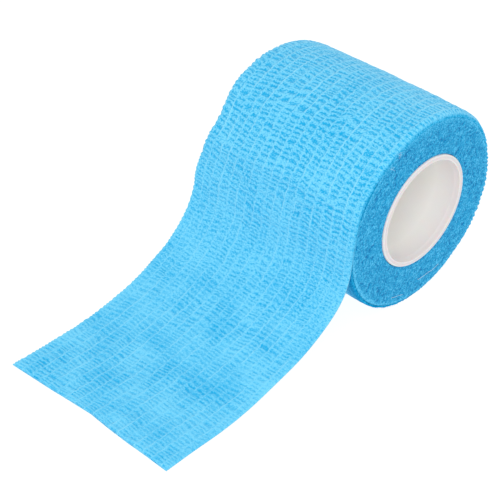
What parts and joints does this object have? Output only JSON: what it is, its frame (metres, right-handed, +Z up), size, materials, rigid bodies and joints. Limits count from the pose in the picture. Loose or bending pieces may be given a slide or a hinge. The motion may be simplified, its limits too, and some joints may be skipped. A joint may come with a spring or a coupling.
{
  "type": "cohesive bandage roll",
  "caption": "Roll of crinkled self-adhering bandage tape on an open plastic tube, its loose end curving down the front and lying flat.",
  "frame": {"origin": "on the small resting flat under the roll, below the middle of the roll's axis", "axes": "+X along the roll's axis, +Y away from the loose end, which runs out towards -Y, +Z up"},
  "size_m": [0.0513, 0.1156, 0.0528],
  "materials": {
    "core_plastic": "smooth white moulded plastic, satin",
    "wound_tape": "matt felt-like cut edges of blue nonwoven tape",
    "loose_tape": "matt sky-blue crinkled nonwoven with fine elastic threads along it"
  },
  "bodies": {
    "root": {"core": "core_plastic", "wound_roll": "wound_tape", "loose_end": "loose_tape"}
  },
  "joints": []
}
